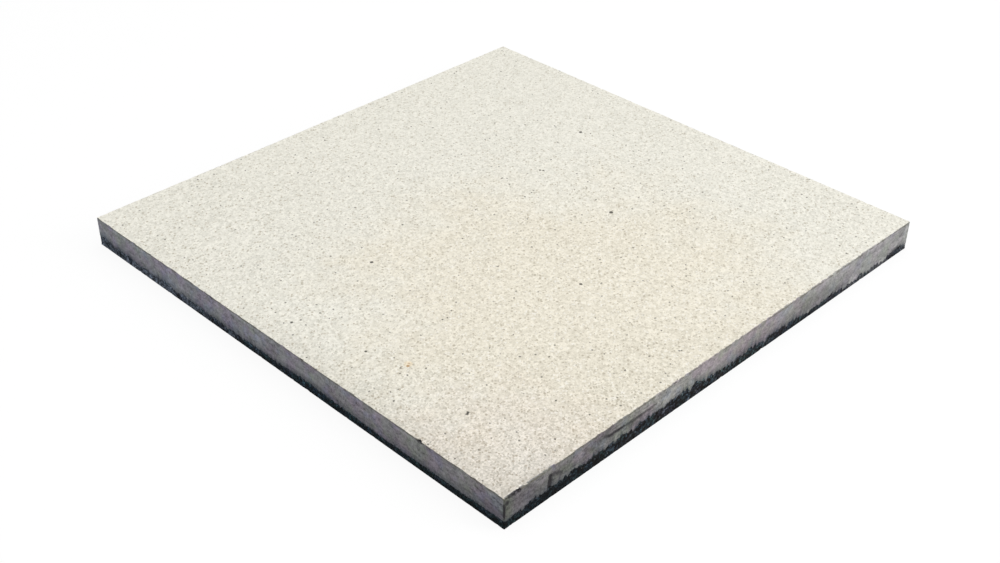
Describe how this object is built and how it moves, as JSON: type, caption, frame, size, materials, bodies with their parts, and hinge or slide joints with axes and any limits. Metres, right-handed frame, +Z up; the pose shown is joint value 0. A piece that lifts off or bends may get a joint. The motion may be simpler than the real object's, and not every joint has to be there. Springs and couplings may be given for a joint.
{
  "type": "terrazzo floor tile",
  "caption": "Square pressed terrazzo floor tile, ground flat on top, on a dark mortar backing with a ragged line on its sides.",
  "frame": {"origin": "centre of the underside, on the bed that the tile lies on", "axes": "+Z up out of the ground face; X and Y along the sides of the square, -Y the front side and +X the right side"},
  "size_m": [0.6, 0.6, 0.033],
  "materials": {
    "terrazzo": "satin",
    "mortar": "matte"
  },
  "bodies": {
    "root": {"terrazzo_face": "terrazzo", "mortar_backing": "mortar"}
  },
  "joints": []
}
